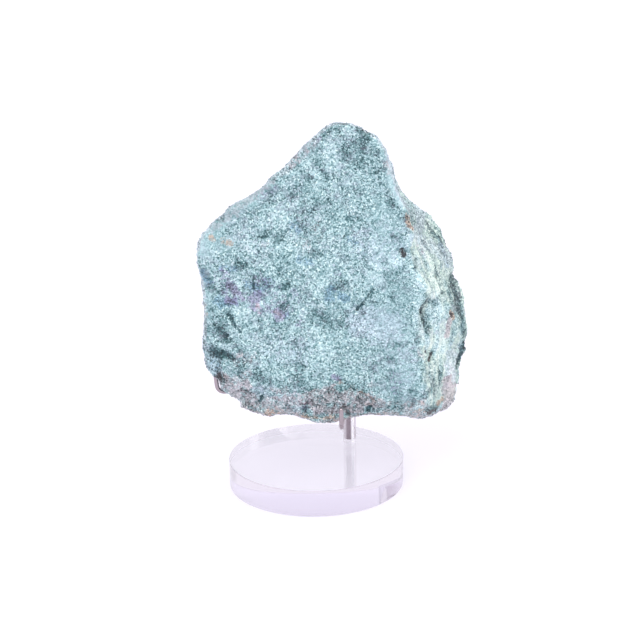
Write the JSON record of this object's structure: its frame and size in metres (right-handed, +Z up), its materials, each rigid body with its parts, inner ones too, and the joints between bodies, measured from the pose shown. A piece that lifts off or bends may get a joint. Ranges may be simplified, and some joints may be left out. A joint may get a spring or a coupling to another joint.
{
  "type": "fuchsite specimen on stand",
  "caption": "Rough slab of sparkling blue-green fuchsite standing on a clear round acrylic base, held by a metal post and two wire prongs.",
  "frame": {"origin": "centre of the acrylic disc's underside, on the surface it stands on", "axes": "+Z up, +X to the right as one faces the stone's flat sparkling side, +Y away from the viewer, towards the post"},
  "size_m": [0.1903, 0.127, 0.2647],
  "materials": {
    "fuchsite": "satin",
    "clear_acrylic": "polished",
    "polished_steel": "polished"
  },
  "bodies": {
    "root": {"fuchsite_stone": "fuchsite", "acrylic_base": "clear_acrylic", "support_post": "polished_steel", "front_prong": "polished_steel", "left_prong": "polished_steel"}
  },
  "joints": []
}
